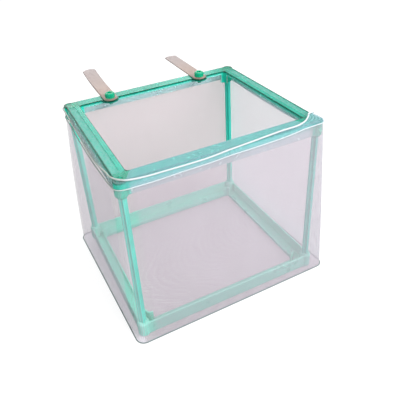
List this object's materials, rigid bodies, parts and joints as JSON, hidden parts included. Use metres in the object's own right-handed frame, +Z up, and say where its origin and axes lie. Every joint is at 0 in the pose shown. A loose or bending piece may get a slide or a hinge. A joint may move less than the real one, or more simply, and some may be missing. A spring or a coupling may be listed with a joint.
{
  "type": "fish breeding box",
  "caption": "Net box for keeping fry apart in an aquarium: two plastic rings, corner posts, a fine net bag and swivelling strips that lie on the tank's rim.",
  "frame": {"origin": "on the surface that the box stands on, below the middle of the rings, on the underside of the net floor", "axes": "+Z up, +X along the front to the right, +Y to the back, where the hanger strips are"},
  "size_m": [0.1891, 0.2068, 0.1572],
  "materials": {
    "ring_plastic": "glossy, slightly see-through sea green",
    "pin_plastic": "glossy, deeper green",
    "strip_plastic": "frosted, see-through, pale",
    "net_fabric": "fine open mesh",
    "hem_fabric": "white woven tape and elastic"
  },
  "bodies": {
    "box": {"top_frame": "ring_plastic", "bottom_frame": "ring_plastic", "post_front_left": "ring_plastic", "post_front_right": "ring_plastic", "post_back_right": "ring_plastic", "post_back_left": "ring_plastic", "hanger_pin_left": "pin_plastic", "hanger_pin_right": "pin_plastic", "net_front": "net_fabric", "net_right": "net_fabric", "net_back": "net_fabric", "net_left": "net_fabric", "net_floor": "net_fabric", "floor_seam": "hem_fabric", "hem_tape": "hem_fabric", "elastic_cord": "hem_fabric"},
    "left_strip": {"hanger_left": "strip_plastic"},
    "right_strip": {"hanger_right": "strip_plastic"}
  },
  "joints": [
    {"name": "left_strip_swivel", "type": "hinge", "parent": "box", "child": "left_strip", "pos_m": [-0.044, 0.0605, 0.15165], "axis": [0, 0, 1], "range_deg": [-25, 180]},
    {"name": "right_strip_swivel", "type": "hinge", "parent": "box", "child": "right_strip", "pos_m": [0.044, 0.0605, 0.15165], "axis": [0, 0, 1], "range_deg": [-180, 25]}
  ]
}
